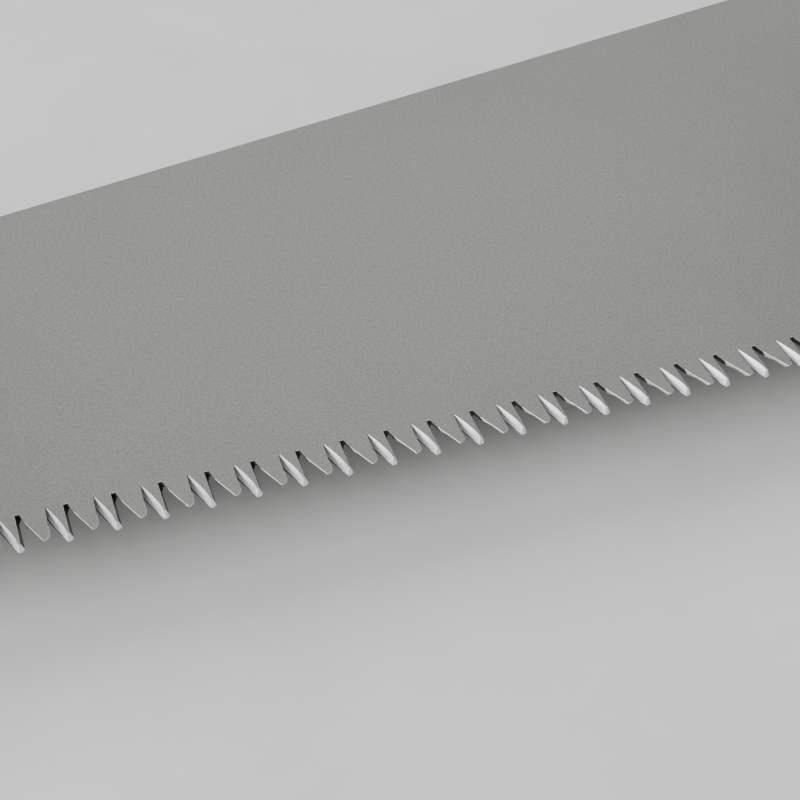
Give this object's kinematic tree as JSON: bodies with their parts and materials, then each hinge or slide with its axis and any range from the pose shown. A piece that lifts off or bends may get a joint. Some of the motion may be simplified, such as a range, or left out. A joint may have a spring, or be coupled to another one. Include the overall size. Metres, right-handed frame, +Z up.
{
  "type": "half-back saw",
  "caption": "Half-back crosscut saw: a tapered steel plate with deep ground teeth, a folded brass back over its heel half and a closed wooden handle bolted on.",
  "frame": {"origin": "bottom centre of the saw as it lies flat, on the plane of the handle's lower cheek", "axes": "+X along the tooth line from toe to handle, +Y from the teeth to the back, +Z up through the plate"},
  "size_m": [0.4026, 0.1246, 0.022],
  "materials": {
    "plate_steel": "matt fine-grained satin, with bright ground bevels on the teeth",
    "back_brass": "satin, lightly tarnished",
    "handle_wood": "oiled beech, worn smooth at the grip",
    "bolt_brass": "filed and polished, lightly tarnished"
  },
  "bodies": {
    "root": {"saw_plate": "plate_steel", "half_back": "back_brass", "handle": "handle_wood", "saw_bolt_front": "bolt_brass", "saw_bolt_rear": "bolt_brass", "saw_bolt_low": "bolt_brass", "medallion_bolt": "bolt_brass", "split_nut_front": "bolt_brass", "split_nut_rear": "bolt_brass", "split_nut_low": "bolt_brass", "medallion_nut": "bolt_brass"}
  },
  "joints": []
}
